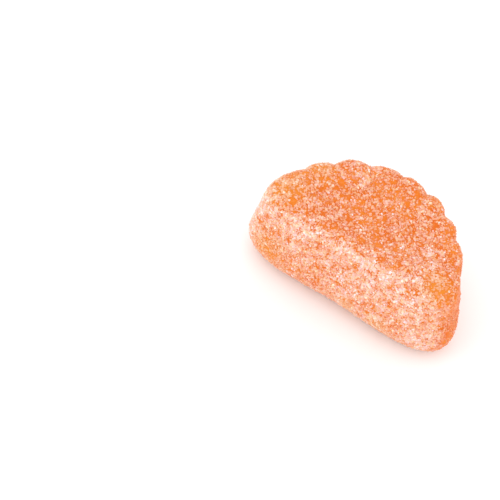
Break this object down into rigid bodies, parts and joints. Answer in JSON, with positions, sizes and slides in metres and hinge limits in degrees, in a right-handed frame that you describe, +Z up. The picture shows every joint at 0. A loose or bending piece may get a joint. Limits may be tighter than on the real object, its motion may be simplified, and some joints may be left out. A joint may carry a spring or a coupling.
{
  "type": "orange slice candy",
  "caption": "Half-slice orange jelly candy with a scalloped rind side, a dished segmented top and a straight cut side, coated with coarse sugar.",
  "frame": {"origin": "middle of the candy's bounding box, on the plane of its flat base", "axes": "+X along the straight cut side, -Y out of the cut side, +Y out of the scalloped rind side, +Z up through the dished top"},
  "size_m": [0.0416, 0.0242, 0.0176],
  "materials": {
    "sugared_jelly": null
  },
  "bodies": {
    "root": {"orange_slice": "sugared_jelly"}
  },
  "joints": []
}
